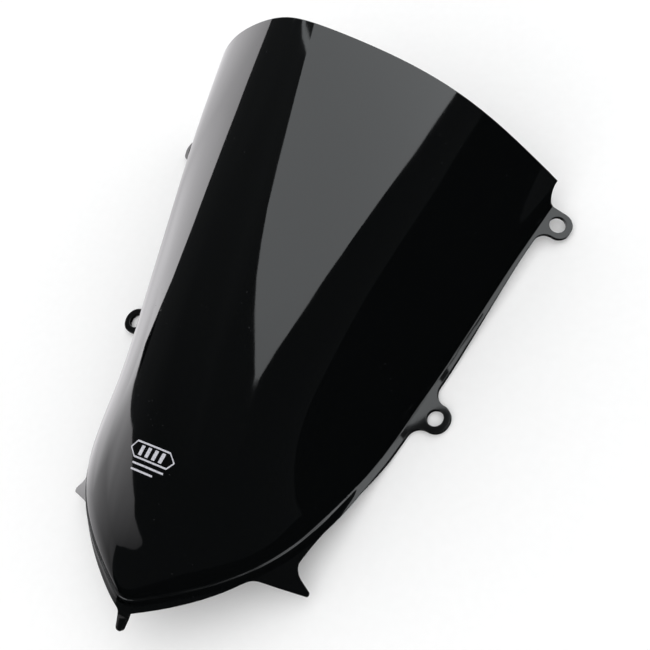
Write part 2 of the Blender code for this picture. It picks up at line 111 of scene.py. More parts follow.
@dataclass(frozen=True)
class ScreenForm:
    """Shape of the formed sheet, as sizes and as heights over the plan."""

    sheet: float = 3.0 * MM
    nose_spread: float = 63.6 * MM
    nose_depth: float = 107.0 * MM
    nose_power: float = 3.07
    nose_radius: float = 4.0 * MM
    nose_blunting: float = 12.0 * MM
    nose_blunt_run: float = 5.0 * MM
    side_splay: float = 0.22
    rear_station: float = 309.3 * MM
    rear_bow: float = 1.98
    rear_bow_fall: float = 80.1
    middle_ear_station: float = 160.3 * MM
    rear_ear_setback: float = 12.9 * MM
    middle_ear_out: float = 12.3 * MM
    middle_ear_radius: float = 8.9 * MM
    rear_ear_out: float = 8.4 * MM
    rear_ear_radius: float = 8.3 * MM
    hole_radius: float = 5.0 * MM
    ear_flat: float = 15.0 * MM
    nose_rise: float = 31.0 * MM
    front_lift: float = 5.5 * MM
    crown_rise: float = 107.4 * MM
    crown_power: float = 0.72
    round_nose: float = 2.52
    round_rear: float = 1.31
    shoulder_nose: float = 0.85
    shoulder_rear: float = 0.70
    flare_nose: float = 0.13
    flare_rear: float = 0.22
    flare_gain: float = 8.0
    flare_power: int = 6
    crown_softness: float = 0.10
    joggle_run: float = 2.0 * MM
    joggle_drop: float = 2.0 * MM
    joggle_fade: tuple[float, float] = (70.0 * MM, 130.0 * MM)
    bend_out: float = 8.0 * MM
    nose_fall: float = 0.6
    front_fall: float = 1.15
    nose_tip_fall: float = 0.35
    side_tip_fall: float = 0.68
    side_tab_station: float = 43.0 * MM
    rear_fall: float = 0.384
    bead_rise: float = 0.8 * MM
    bead_run: float = 1.1 * MM
    bead_out: float = -0.3 * MM
    bead_blend: tuple[float, float] = (6.0 * MM, 2.0 * MM)
    fillet_front: float = 0.36 * MM
    fillet_side: float = 0.28 * MM
    fillet_band: tuple[float, float] = (7.0 * MM, 3.2 * MM)
    fillet_reach: float = 2.4
    fillet_samples: int = 9
    slope_step: float = 0.12 * MM
    table_points: int = 700
    table_spare: float = 10.0
    table_batch: int = 4096
    root_step: float = 2.0e-4
    root_stride: float = 2.0e-3
    root_tries: int = 4
    least_curve: float = 0.2

    @property
    def rear_ear_station(self) -> float:
        """Station of the rear ears' holes."""
        return self.rear_station - self.rear_ear_setback

    @property
    def rear_tilt(self) -> float:
        """How far the rear ears lean down and outward, in radians."""
        return math.atan(self.rear_fall)

    @property
    def rear_fall_reach(self) -> float:
        """Run over which the rear flange falls, so that its rims come down to the floor."""
        extra = self.sheet * (1.0 / math.cos(self.rear_tilt) - 1.0) / self.rear_fall
        return self.rear_ear_out + self.rear_ear_radius + extra

    @property
    def rear_end(self) -> float:
        """Furthest station that the sheet reaches."""
        widest = math.sqrt(self.rear_bow / (2.0 * self.rear_bow_fall))
        return float(self.rear_edge(min(widest, float(self.half_width(self.rear_station)))))

    def half_width(self, station: Array | float) -> Array:
        """Half the width between the foot lines at a station."""
        s = np.maximum(station, 0.0)
        ahead = np.maximum(1.0 - s / self.nose_depth, 0.0)
        wedge = self.nose_spread * (1.0 - ahead**self.nose_power) + self.side_splay * s
        blunt = self.nose_radius * ahead + self.nose_blunting * np.exp(-s / self.nose_blunt_run)
        return np.sqrt(wedge * wedge + 2.0 * s * blunt)

    def rear_edge(self, x: Array | float) -> Array:
        """Station of the rear edge at an offset from the middle."""
        return self.rear_station + self.rear_bow * x**2 - self.rear_bow_fall * x**4

    def foot_at(self, root: Array) -> tuple[Array, Array]:
        """Plan point of the foot line at the square root of a station, odd through the nose."""
        return np.sign(root) * self.half_width(root * root), root * root

    def nearest_foot(self, x: Array, y: Array) -> FootPoints:
        """Finds the foot-line point nearest to each plan point, taken on the right-hand side.

        Args:
            x: Offsets from the middle, of either sign.
            y: Stations.

        Returns:
            The foot points, their outward directions and the signed distances out.
        """
        x = np.abs(x)
        end = math.sqrt(self.rear_end + self.table_spare * self.sheet)
        table = np.linspace(0.0, end, self.table_points)
        table_x, table_y = self.foot_at(table)
        root = np.empty(len(x))
        for low in range(0, len(x), self.table_batch):
            part = slice(low, low + self.table_batch)
            away = (x[part, None] - table_x) ** 2 + (y[part, None] - table_y) ** 2
            root[part] = table[away.argmin(axis=1)]
        step, stride = self.root_step, self.root_stride
        for _ in range(self.root_tries):
            fx, fy = self.foot_at(root)
            ahead_x, ahead_y = self.foot_at(root + step)
            back_x, back_y = self.foot_at(root - step)
            tx, ty = (ahead_x - back_x) / (2 * step), (ahead_y - back_y) / (2 * step)
            cx, cy = (ahead_x - 2 * fx + back_x) / step**2, (ahead_y - 2 * fy + back_y) / step**2
            miss = (x - fx) * tx + (y - fy) * ty
            slope = -(tx * tx + ty * ty)
            curved = slope + (x - fx) * cx + (y - fy) * cy
            slope = np.where(curved < self.least_curve * slope, curved, slope)
            root = np.maximum(root - np.clip(miss / slope, -stride, stride), 0.0)
        fx, fy = self.foot_at(root)
        ahead_x, ahead_y = self.foot_at(root + step)
        back_x, back_y = self.foot_at(root - step)
        tx, ty = ahead_x - back_x, ahead_y - back_y
        length = np.hypot(tx, ty)
        out_x, out_y = ty / length, -tx / length
        out = (x - fx) * out_x + (y - fy) * out_y
        return FootPoints(root * root, fx, fy, out_x, out_y, out)

    def front_share(self, station: Array) -> Array:
        """1 round the nose, where the flange is joggled, fading to 0 along the side."""
        return 1.0 - smooth_step(*self.joggle_fade, station)

    def rear_share(self, station: Array) -> Array:
        """0 at the middle ears, 1 from just before the rear ears."""
        start = self.middle_ear_station + self.ear_flat
        return smooth_step(start, self.rear_ear_station - self.ear_flat, station)

    def foot_height(self, station: Array) -> Array:
        """Height of the foot line."""
        start = self.middle_ear_station - self.ear_flat
        rise = smooth_step(0.0, self.middle_ear_station, start - np.asarray(station, float))
        rear = self.rear_fall * self.rear_fall_reach * self.rear_share(station)
        return self.nose_rise * rise + self.front_lift * self.front_share(station) + rear

    def flange_height(self, station: Array, out: Array) -> Array:
        """Height of the flange a distance out from the foot line, square to it."""
        front = self.front_share(station)
        beside = smooth_step(0.0, self.side_tab_station, station)
        joggle = self.joggle_drop * front * np.clip(out / self.joggle_run, 0.0, 1.0)
        near = mix(self.nose_fall, self.front_fall, beside) * front
        far = mix(self.nose_tip_fall, self.side_tip_fall, beside) * front
        bent = near * np.minimum(out, self.bend_out) + far * np.maximum(out - self.bend_out, 0.0)
        rear = self.rear_fall * self.rear_share(station) * out
        return self.foot_height(station) - joggle - bent - rear

    def dome_height(self, x: Array, station: Array) -> Array:
        """Height of the dome's outer surface over a plan point inside the foot line."""
        station = np.maximum(station, 0.0)
        t = station / self.rear_station
        crown = self.foot_height(np.zeros(1))[0] + self.crown_rise * t**self.crown_power
        u = np.minimum(np.abs(x) / np.maximum(self.half_width(station), 0.01 * MM), 1.0)
        roundness = mix(self.round_nose, self.round_rear, t)
        shoulder = mix(self.shoulder_nose, self.shoulder_rear, t)
        flare = mix(self.flare_nose, self.flare_rear, t)
        soft = self.crown_softness**roundness
        whole = (1.0 + self.crown_softness**2) ** (roundness / 2.0) - soft
        away = (u * u + self.crown_softness**2) ** (roundness / 2.0) - soft
        fullness = np.maximum(1.0 - away / whole, 0.0)
        rise = fullness**shoulder - flare * self.flare_gain * u**self.flare_power * (1.0 - u)
        low = self.foot_height(station)
        return low + (crown - low) * rise

    def height(self, x: Array, y: Array, soften: float = 1.0) -> Array:
        """Height of the outer surface, with the bends at the foot rounded.

        Args:
            x: Offsets from the middle.
            y: Stations.
            soften: How many times wider than normal to round the bends.

        Returns:
            Heights above the middle ears' upper faces.
        """
        foot = self.nearest_foot(x, y)
        front = self.front_share(foot.station)
        spread = soften * mix(self.fillet_side, self.fillet_front, front)
        reach = self.bead_run - self.bead_out
        lean = reach * front * smooth_step(-self.bead_blend[0], -self.bead_blend[1], foot.out)
        plain = self.dome_height(np.abs(x) + lean * foot.out_x, y + lean * foot.out_y)
        total, weight = np.zeros(len(x)), 0.0
        for step in np.linspace(-self.fillet_reach, self.fillet_reach, self.fillet_samples):
            share = math.exp(-0.5 * step * step)
            out = foot.out + step * spread
            wall = out + lean
            inside = self.dome_height(foot.x + wall * foot.out_x, foot.y + wall * foot.out_y)
            bead = np.clip(1.0 - np.abs(out - self.bead_out) / self.bead_run, 0.0, 1.0)
            beyond = self.flange_height(foot.station, np.maximum(out, 0.0))
            beyond += self.bead_rise * front * bead
            total += share * np.where(wall < 0.0, inside, beyond)
            weight += share
        blend = smooth_step(-self.fillet_band[0], -self.fillet_band[1], foot.out)
        return mix(plain, total / weight, blend)

    def normal(self, x: Array, y: Array, soften: float = 1.0) -> Array:
        """Unit vectors square to the outer surface, pointing up and out."""
        d = self.slope_step
        along_x = (self.height(x + d, y, soften) - self.height(x - d, y, soften)) / (2.0 * d)
        along_y = (self.height(x, y + d, soften) - self.height(x, y - d, soften)) / (2.0 * d)
        return unit(np.stack([-along_x, -along_y, np.ones(len(x))], axis=1))

    def flange_point(self, station: float, out: float) -> Vector:
        """Plan point a distance out from the right-hand foot line."""
        root = math.sqrt(max(station, 0.0))
        ahead = self.foot_at(np.array([root + self.root_step]))
        back = self.foot_at(np.array([root - self.root_step]))
        along = Vector((float(ahead[0][0] - back[0][0]), float(ahead[1][0] - back[1][0])))
        along.normalize()
        half = float(self.half_width(station))
        return Vector((half + out * along.y, max(station, 0.0) - out * along.x))

    def out_direction(self, station: float) -> Vector:
        """Unit plan vector pointing away from the dome at a station."""
        return (self.flange_point(station, MM) - self.flange_point(station, 0.0)).normalized()


def rounded_outline(corners: Sequence[Corner], arc_step: float) -> list[Vector]:
    """Sweeps each corner of a closed plan outline as an arc.

    Args:
        corners: Offset, station and radius of each corner.
        arc_step: Largest turn between two points of an arc, in radians.

    Returns:
        The outline's plan points.
    """
    points: list[Vector] = []
    count = len(corners)
    for i, (x, station, radius) in enumerate(corners):
        here = Vector((x, station))
        to_last = Vector(corners[i - 1][:2]) - here
        to_next = Vector(corners[(i + 1) % count][:2]) - here
        reach = min(to_last.length, to_next.length)
        if radius <= 0.0 or reach == 0.0:
            points.append(here)
            continue
        to_last.normalize()
        to_next.normalize()
        half = to_last.angle(to_next) / 2.0
        if half > STRAIGHT_CORNER:
            points.append(here)
            continue
        back = min(radius / math.tan(half), MOST_OF_HALF_A_SIDE * reach)
        radius = back * math.tan(half)
        start = here + to_last * back
        middle = here + (to_last + to_next).normalized() * radius / math.sin(half)
        sweep = (here + to_next * back - middle).angle_signed(start - middle)
        steps = max(2, math.ceil(abs(sweep) / arc_step))
        for k in range(steps + 1):
            turn = Matrix.Rotation(sweep * k / steps, 2)
            points.append(middle + turn @ (start - middle))
    return points


def close_set(loop: Array, spacing: float) -> Array:
    """Adds points to a closed loop so that no side is longer than spacing."""
    rows = []
    for here, there in zip(loop, np.roll(loop, -1, axis=0)):
        steps = max(1, math.ceil(float(np.linalg.norm(there - here)) / spacing))
        rows += [mix(here, there, k / steps) for k in range(steps)]
    return np.array(rows)


def inset(loop: Array, distance: float) -> Array:
    """Moves each point of a counterclockwise plan loop inward, square to the loop."""
    along = np.roll(loop, -1, axis=0) - np.roll(loop, 1, axis=0)
    along = unit(along)
    return loop + distance * np.stack([-along[:, 1], along[:, 0]], axis=1)


def signed_area(loop: Array) -> float:
    """Area inside a plan loop, positive where it runs counterclockwise."""
    following = np.roll(loop, -1, axis=0)
    return 0.5 * float((loop[:, 0] * following[:, 1] - following[:, 0] * loop[:, 1]).sum())


def inside_loop(points: Array, loop: Array) -> Array:
    """True for each plan point that lies inside a closed loop."""
    found = np.zeros(len(points), bool)
    for (ax, ay), (bx, by) in zip(loop, np.roll(loop, -1, axis=0)):
        crosses = (ay > points[:, 1]) != (by > points[:, 1])
        if ay != by:
            at = ax + (points[:, 1] - ay) * (bx - ax) / (by - ay)
            found ^= crosses & (points[:, 0] < at)
    return found


def distance_to_loop(points: Array, loop: Array) -> Array:
    """Distance from each plan point to the nearest side of a closed loop."""
    nearest = np.full(len(points), np.inf)
    for start, end in zip(loop, np.roll(loop, -1, axis=0)):
        along = end - start
        share = np.clip((points - start) @ along / max(float(along @ along), 1e-18), 0.0, 1.0)
        away = points - start - share[:, None] * along
        nearest = np.minimum(nearest, np.hypot(away[:, 0], away[:, 1]))
    return nearest


@dataclass
class SkinnedPlate:
    """A plate of even thickness over a plan outline, with rounded edges and smooth normals."""

    form: ScreenForm
    origin: Vector
    thickness: float
    edge_radius: float
    raise_by: float = 0.0
    edge_steps: int = 3
    soften_under: float = 2.0

    def lifted(self, points: Array) -> Array:
        """Places points of the form (offset, station, height) in the row frame."""
        return points + np.array(self.origin)

    def mesh(self, name: str, outline: Array, holes: Sequence[Array], inner: Array) -> bpy.types.Mesh:
        """Builds the closed plate.

        Args:
            name: Name of the mesh.
            outline: Plan loop of the plate's outer edge.
            holes: Plan loops of the holes' edges.
            inner: Plan points to set between the edges.

        Returns:
            The mesh: its faces take slot 0 above and below and slot 1 round the edges.
        """
        loops = [outline if signed_area(outline) > 0 else outline[::-1]]
        loops += [hole if signed_area(hole) < 0 else hole[::-1] for hole in holes]
        loops = [inset(loop, self.edge_radius) for loop in loops]
        plan = np.concatenate([*loops, inner]) / MM
        edges, start = [], 0
        for loop in loops:
            edges += [(start + k, start + (k + 1) % len(loop)) for k in range(len(loop))]
            start += len(loop)
        flat, _, tris, origins, _, _ = delaunay_2d_cdt(
            [Vector(p) for p in plan], edges, [], 0, 1e-6, True
        )
        flat = np.array([tuple(p) for p in flat]) * MM
        place_of = {old: new for new, group in enumerate(origins) for old in group}
        faces = np.array([t for t in tris if len(t) == 3])
        middles = flat[faces].mean(axis=1)
        keep = inside_loop(middles, loops[0])
        for loop in loops[1:]:
            keep &= ~inside_loop(middles, loop)
        faces = faces[keep]
        used = np.unique(np.concatenate([faces.ravel(), [place_of[k] for k in range(start)]]))
        renumber = np.full(len(flat), -1)
        renumber[used] = np.arange(len(used))
        faces, flat = renumber[faces], flat[used]
        ring_of = [int(renumber[place_of[k]]) for k in range(start)]
        return self.closed_mesh(name, flat, faces, loops, ring_of)

    def closed_mesh(
        self, name: str, flat: Array, faces: Array, loops: Sequence[Array], ring_of: Sequence[int]
    ) -> bpy.types.Mesh:
        """Gives the plan triangles their heights, an underside and rounded edges.

        Args:
            name: Name of the mesh.
            flat: Plan points.
            faces: Triangles over them.
            loops: The edge loops, material on the left.
            ring_of: Plan point number of each loop point, in order.

        Returns:
            The closed mesh.
        """
        x, y = flat[:, 0], flat[:, 1]
        top_normal = self.form.normal(x, y)
        soft_normal = self.form.normal(x, y, self.soften_under)
        top = np.stack([x, y, self.form.height(x, y)], axis=1) + self.raise_by * soft_normal
        under = top - self.thickness * soft_normal
        points, normals = [top, under], [top_normal, -soft_normal]
        count = len(flat)
        all_faces: list[tuple[int, ...]] = [tuple(f) for f in faces]
        all_faces += [(a + count, c + count, b + count) for a, b, c in faces]
        flat_faces = len(all_faces)
        total, start = 2 * count, 0
        for loop in loops:
            ring = np.array(ring_of[start : start + len(loop)])
            start += len(loop)
            rows = self.edge_rows(top[ring], soft_normal[ring])
            numbers = [ring]
            for row, row_normal in rows:
                points.append(row)
                normals.append(row_normal)
                numbers.append(np.arange(total, total + len(ring)))
                total += len(ring)
            numbers.append(ring + count)
            for upper, lower in zip(numbers, numbers[1:]):
                for k in range(len(ring)):
                    n = (k + 1) % len(ring)
                    all_faces.append((upper[k], lower[k], lower[n], upper[n]))
        mesh = bpy.data.meshes.new(name)
        mesh.from_pydata(self.lifted(np.concatenate(points)).tolist(), [], all_faces)
        mesh.polygons.foreach_set("material_index", [int(i >= flat_faces) for i in range(len(all_faces))])
        mesh.shade_smooth()
        mesh.normals_split_custom_set_from_vertices(np.concatenate(normals).tolist())
        mesh.update()
        return mesh

    def edge_rows(self, ring: Array, normal: Array) -> list[tuple[Array, Array]]:
        """Rows of points round one rounded edge, from the upper face to the lower one.

        Args:
            ring: The upper face's boundary points, in order.
            normal: The surface's normals there.

        Returns:
            Each row's points and normals.
        """
        along = unit(np.roll(ring, -1, axis=0) - np.roll(ring, 1, axis=0))
        outward = unit(np.cross(along, normal))
        r, rows = self.edge_radius, []
        turns = [0.5 * math.pi * k / self.edge_steps for k in range(1, self.edge_steps + 1)]
        for face, turn in [*((1.0, t) for t in turns), *((-1.0, t) for t in reversed(turns))]:
            out, rise = r * math.sin(turn), r * (1.0 - math.cos(turn))
            down = rise if face > 0.0 else self.thickness - rise
            facing = outward * math.sin(turn) + face * math.cos(turn) * normal
            rows.append((ring + out * outward - down * normal, facing))
        return rows


class Socket(Enum):
    """Shader inputs that the finishes set."""

    COLOR = "Base Color"
    ROUGHNESS = "Roughness"
    IOR = "IOR"
    NORMAL = "Normal"


@dataclass
class Nodes:
    """Short way to build a node material."""

    tree: bpy.types.NodeTree

    def add(
        self,
        kind: str,
        links: dict[str | int, bpy.types.NodeSocket] | None = None,
        **values: object,
    ) -> bpy.types.Node:
        """Adds a node.

        Args:
            kind: Node type, without its ShaderNode prefix.
            links: Output sockets to join to the named inputs.
            values: Input values by name with spaces as underscores, or properties in lower case.

        Returns:
            The node.
        """
        node = self.tree.nodes.new(f"ShaderNode{kind}")
        for name, value in values.items():
            if hasattr(node, name):
                setattr(node, name, value)
            else:
                node.inputs[name.replace("_", " ")].default_value = value
        for name, socket in (links or {}).items():
            self.tree.links.new(socket, node.inputs[name])
        return node

    def ramp(
        self, source: bpy.types.NodeSocket, stops: Sequence[tuple[float, float]]
    ) -> bpy.types.NodeSocket:
        """Grey ramp through the given (place, level) stops.

        Args:
            source: Socket to read.
            stops: Places and grey levels in rising order.

        Returns:
            The ramp's colour output.
        """
        node = self.add("ValToRGB", {"Fac": source})
        for k, (place, level) in enumerate(stops):
            stop = node.color_ramp.elements[k] if k < 2 else node.color_ramp.elements.new(place)
            stop.position = place
            stop.color = (level, level, level, 1.0)
        return node.outputs["Color"]

    def tint(self, share: bpy.types.NodeSocket, low: Tint, high: Tint) -> bpy.types.NodeSocket:
        """Mix of two tints, from low to high as share goes from 0 to 1."""
        node = self.add("Mix", {"Factor": share}, data_type="RGBA")
        node.inputs[6].default_value = (*low, 1.0)
        node.inputs[7].default_value = (*high, 1.0)
        return node.outputs[2]

    def dress(
        self,
        shader: bpy.types.Node,
        tint: bpy.types.NodeSocket,
        gloss: bpy.types.NodeSocket,
        relief: bpy.types.Node,
    ) -> None:
        """Joins a finish to its shader.

        Args:
            shader: The Principled shader.
            tint: Its colour.
            gloss: Its roughness.
            relief: The bump node that shapes its surface.
        """
        self.tree.links.new(tint, shader.inputs[Socket.COLOR.value])
        self.tree.links.new(gloss, shader.inputs[Socket.ROUGHNESS.value])
        self.tree.links.new(relief.outputs["Normal"], shader.inputs[Socket.NORMAL.value])


def new_material(name: str) -> tuple[bpy.types.Material, Nodes, bpy.types.Node]:
    """Makes an empty Principled material.

    Args:
        name: Name of the material.

    Returns:
        The material, its node builder and its Principled shader.
    """
    material = bpy.data.materials.new(name)
    material.use_nodes = True
    shader = material.node_tree.nodes["Principled BSDF"]
    return material, Nodes(material.node_tree), shader


@dataclass(frozen=True)
class PolishedAcrylic:
    """Near-black cast acrylic, polished by its own press sheet and hung with a little dust."""

    name: str = "black_acrylic"
    deep: Tint = (0.0012, 0.0015, 0.0016)
    thin: Tint = (0.0024, 0.0027, 0.0029)
    dust: Tint = (0.020, 0.021, 0.023)

    def material(self) -> bpy.types.Material:
        """Builds the finish: smudged gloss, a slow forming wave and specks of dust."""
        material, nodes, shader = new_material(self.name)
        place = nodes.add("TexCoord").outputs["Object"]
        smudge = nodes.add("TexNoise", {"Vector": place}, Scale=22.0, Detail=5.0, Roughness=0.62)
        gloss = nodes.ramp(smudge.outputs["Fac"], [(0.30, 0.022), (0.70, 0.060)])
        wave = nodes.add("TexNoise", {"Vector": place}, Scale=16.0, Detail=1.0)
        grain = nodes.add("TexNoise", {"Vector": place}, Scale=900.0, Detail=2.0)
        speck = nodes.add("TexVoronoi", {"Vector": place}, Scale=260.0, Randomness=1.0)
        dusty = nodes.ramp(speck.outputs["Distance"], [(0.035, 1.0), (0.075, 0.0)])
        patch = nodes.ramp(smudge.outputs["Fac"], [(0.52, 0.0), (0.68, 1.0)])
        dust_share = nodes.add("Math", {0: dusty, 1: patch}, operation="MULTIPLY")
        tint = nodes.tint(grain.outputs["Fac"], self.deep, self.thin)
        dusted = nodes.add("Mix", {"Factor": dust_share.outputs[0], 6: tint}, data_type="RGBA")
        dusted.inputs[7].default_value = (*self.dust, 1.0)
        slow = nodes.add("Bump", {"Height": wave.outputs["Fac"]}, Strength=1.0, Distance=0.00004)
        fine = nodes.add(
            "Bump",
            {"Height": grain.outputs["Fac"], "Normal": slow.outputs["Normal"]},
            Strength=0.5,
            Distance=0.0000015,
        )
        rough = nodes.add("Math", {0: gloss, 1: dust_share.outputs[0]}, operation="ADD", use_clamp=True)
        nodes.dress(shader, dusted.outputs[2], rough.outputs[0], fine)
        shader.inputs[Socket.IOR.value].default_value = ACRYLIC_IOR
        return material


@dataclass(frozen=True)
class RoutedEdge:
    """Cut edge of the acrylic, left satin by the router and a flame."""

    name: str = "routed_edge"
    low: Tint = (0.0030, 0.0032, 0.0034)
    high: Tint = (0.0085, 0.0088, 0.0092)

    def material(self) -> bpy.types.Material:
        """Builds the finish: fine cutter lines along the edge, with uneven gloss."""
        material, nodes, shader = new_material(self.name)
        place = nodes.add("TexCoord").outputs["Object"]
        lines = nodes.add("TexWave", {"Vector": place}, Scale=420.0, Distortion=1.5, bands_direction="Z")
        cloud = nodes.add("TexNoise", {"Vector": place}, Scale=140.0, Detail=4.0)
        gloss = nodes.ramp(cloud.outputs["Fac"], [(0.30, 0.16), (0.72, 0.34)])
        tint = nodes.tint(cloud.outputs["Fac"], self.low, self.high)
        bump = nodes.add("Bump", {"Height": lines.outputs["Fac"]}, Strength=0.4, Distance=0.00001)
        nodes.dress(shader, tint, gloss, bump)
        shader.inputs[Socket.IOR.value].default_value = ACRYLIC_IOR
        return material


@dataclass(frozen=True)
class BadgeInk:
    """Pale screen-print ink, a little thin in places."""

    name: str = "badge_ink"
    full: Tint = (0.58, 0.58, 0.63)
    thin: Tint = (0.34, 0.34, 0.38)

    def material(self) -> bpy.types.Material:
        """Builds the finish: mesh-screen grain in tint, gloss and height."""
        material, nodes, shader = new_material(self.name)
        place = nodes.add("TexCoord").outputs["Object"]
        grain = nodes.add("TexNoise", {"Vector": place}, Scale=1500.0, Detail=3.0)
        cover = nodes.ramp(grain.outputs["Fac"], [(0.34, 0.0), (0.58, 1.0)])
        tint = nodes.tint(cover, self.thin, self.full)
        gloss = nodes.ramp(grain.outputs["Fac"], [(0.3, 0.52), (0.7, 0.36)])
        bump = nodes.add("Bump", {"Height": grain.outputs["Fac"]}, Strength=0.5, Distance=0.00002)
        nodes.dress(shader, tint, gloss, bump)
        return material


@dataclass(frozen=True)
class PaperFloor:
    """Matt pale background paper."""

    name: str = "paper_floor"
    pale: Tint = (0.93, 0.93, 0.93)
    grey: Tint = (0.90, 0.90, 0.90)

    def material(self) -> bpy.types.Material:
        """Builds the finish: soft fibres in tint and height."""
        material, nodes, shader = new_material(self.name)
        place = nodes.add("TexCoord").outputs["Object"]
        fibre = nodes.add("TexNoise", {"Vector": place}, Scale=180.0, Detail=6.0)
        tint = nodes.tint(fibre.outputs["Fac"], self.pale, self.grey)
        gloss = nodes.ramp(fibre.outputs["Fac"], [(0.3, 0.85), (0.7, 0.95)])
        bump = nodes.add("Bump", {"Height": fibre.outputs["Fac"]}, Strength=0.2, Distance=0.00005)
        nodes.dress(shader, tint, gloss, bump)
        return material


def show(name: str, mesh: bpy.types.Mesh, materials: Iterable[bpy.types.Material]) -> bpy.types.Object:
    """Puts a mesh in the scene with its materials.

    Args:
        name: Name of the piece.
        mesh: Its mesh.
        materials: Its material slots, in order.

    Returns:
        The new object.
    """
    piece = bpy.data.objects.new(name, mesh)
    bpy.context.scene.collection.objects.link(piece)
    for material in materials:
        mesh.materials.append(material)
    return piece


@dataclass
class FormedSheet:
    """The whole moulding: dome, joggled flange, four drilled ears and three pointed tabs."""

    form: ScreenForm
    blank: ScreenForm
    origin: Vector
    flange_nose: float = 6.0 * MM
    flange_cheek: float = 2.7 * MM
    flange_front: float = 4.2 * MM
    flange_side: float = 3.9 * MM
    flange_rear: float = 2.5 * MM
    nose_tab: tuple[float, float, float] = (10.0 * MM, 3.8 * MM, 2.0 * MM)
    nose_tab_fillet: float = 2.5 * MM
    side_tab_length: float = 24.4 * MM
    side_tab_tip: tuple[float, float] = (1.5 * MM, 1.0 * MM)
    side_tab_root: tuple[float, float] = (3.5 * MM, 12.0 * MM)
    side_tab_root_out: float = 6.8 * MM
    side_tab_fillets: tuple[float, float] = (10.0 * MM, 8.0 * MM)
    tab_tip_radius: float = 1.5 * MM
    ear_fillet: float = 10.0 * MM
    rear_ear_fillets: tuple[float, float] = (8.0 * MM, 5.0 * MM)
    fillet_run: float = 22.0 * MM
    corner_height: float = 14.0 * MM
    corner_gap: float = 1.5 * MM
    edge_radius: float = 0.32 * MM
    arc_step: float = math.radians(7.5)
    dome_spacing: float = 2.6 * MM
    flange_spacing: float = 1.7 * MM
    edge_spacing: float = 2.0 * MM
    tip_roundness: float = 0.9
    ear_roundness: float = 0.98
    rear_ear_edge: float = 1.0 * MM
    run_steps: tuple[int, int, int] = (9, 9, 3)
    relief_steps: int = 12
    relief_reach: tuple[float, int] = (9.0 * MM, 120)
    relief_inset: float = 2.5 * MM
    rear_steps: int = 24
    hole_points: int = 48
    least_gap: float = 0.05 * MM
    row_ratio: float = 0.866
    grid_front: float = -20.0 * MM
    grid_half: float = 150.0 * MM
    grid_beside: float = 30.0 * MM
    grid_clear: tuple[float, float] = (-7.0 * MM, 5.5 * MM)
    walk_step: float = 0.25 * MM
    bend_step: tuple[float, float] = (1.1, 0.15)
    middle_clear: float = 0.3
    nose_fold: tuple[float, float] = (12.0 * MM, 0.2 * MM)
    edge_clear: float = 0.45 * MM
    bend_rows: tuple[float, ...] = (
        *(-5.8, -4.8, -3.9, -3.2, -2.6, -2.2, -1.9, -1.65, -1.4, -1.2, -1.0, -0.8, -0.6, -0.4, -0.2),
        *(0.0, 0.2, 0.4, 0.6, 0.85, 1.1, 1.4, 1.7, 2.0, 2.3, 2.7, 3.3, 4.0, 4.8),
    )

    def flange_run(
        self, start: float, end: float, out_start: float, out_end: float, steps: int
    ) -> list[Corner]:
        """Plan corners along the flange's edge between two stations."""
        run = []
        for i in range(steps + 1):
            t = i / steps
            point = self.blank.flange_point(mix(start, end, t), mix(out_start, out_end, t))
            run.append((point.x, point.y, 0.0))
        return run

    def ear_middle(self, station: float, out: float) -> Vector:
        """Plan point of an ear's hole."""
        foot = station - out * self.blank.out_direction(station).y
        return self.blank.flange_point(foot, out)

    def ear_corners(
        self,
        station: float,
        out: float,
        radius: float,
        fillets: tuple[float, float],
        outs: tuple[float, float],
    ) -> list[Corner]:
        """Plan corners of a tongue with a round end, standing out square from the foot line.

        Args:
            station: Station of the hole.
            out: Distance of the hole from the foot line.
            radius: Radius of the round end.
            fillets: Fillet radii at the front and rear roots.
            outs: How far out the flange's edge is in front and behind.

        Returns:
            The corners from front to rear.
        """
        away = self.blank.out_direction(station)
        along = Vector((-away.y, away.x))
        middle = self.ear_middle(station, out)
        corners: list[Corner] = []
        for side, edge, fillet in ((-1.0, outs[0], fillets[0]), (1.0, outs[1], fillets[1])):
            inner = middle + along * side * radius - away * (out - edge)
            outer = middle + along * side * radius + away * radius
            pair = [(inner.x, inner.y, fillet), (outer.x, outer.y, self.ear_roundness * radius)]
            corners += pair if side < 0.0 else pair[::-1]
        return corners

    def corner_relief(self) -> list[Corner]:
        """Plan corners of the hollow cut across the lower rear corner, up to the rear edge."""
        form = self.blank
        front = form.rear_ear_station + form.rear_ear_radius + self.corner_gap
        low = float(form.foot_height(np.array([form.rear_ear_station]))[0])
        end = float(form.rear_edge(float(form.half_width(form.rear_end)) - self.relief_inset))
        corners: list[Corner] = []
        reach = np.linspace(0.0, *self.relief_reach)
        for k in range(2, self.relief_steps + 1):
            turn = 0.5 * math.pi * k / self.relief_steps
            y = mix(front, end, 1.0 - math.cos(turn))
            z = mix(low, self.corner_height, math.sin(turn))
            x = float(form.half_width(y)) - reach
            heights = np.maximum.accumulate(form.height(x, np.full(len(x), y)))
            corners.append((float(np.interp(z, heights, x)), y, 0.0))
        return corners

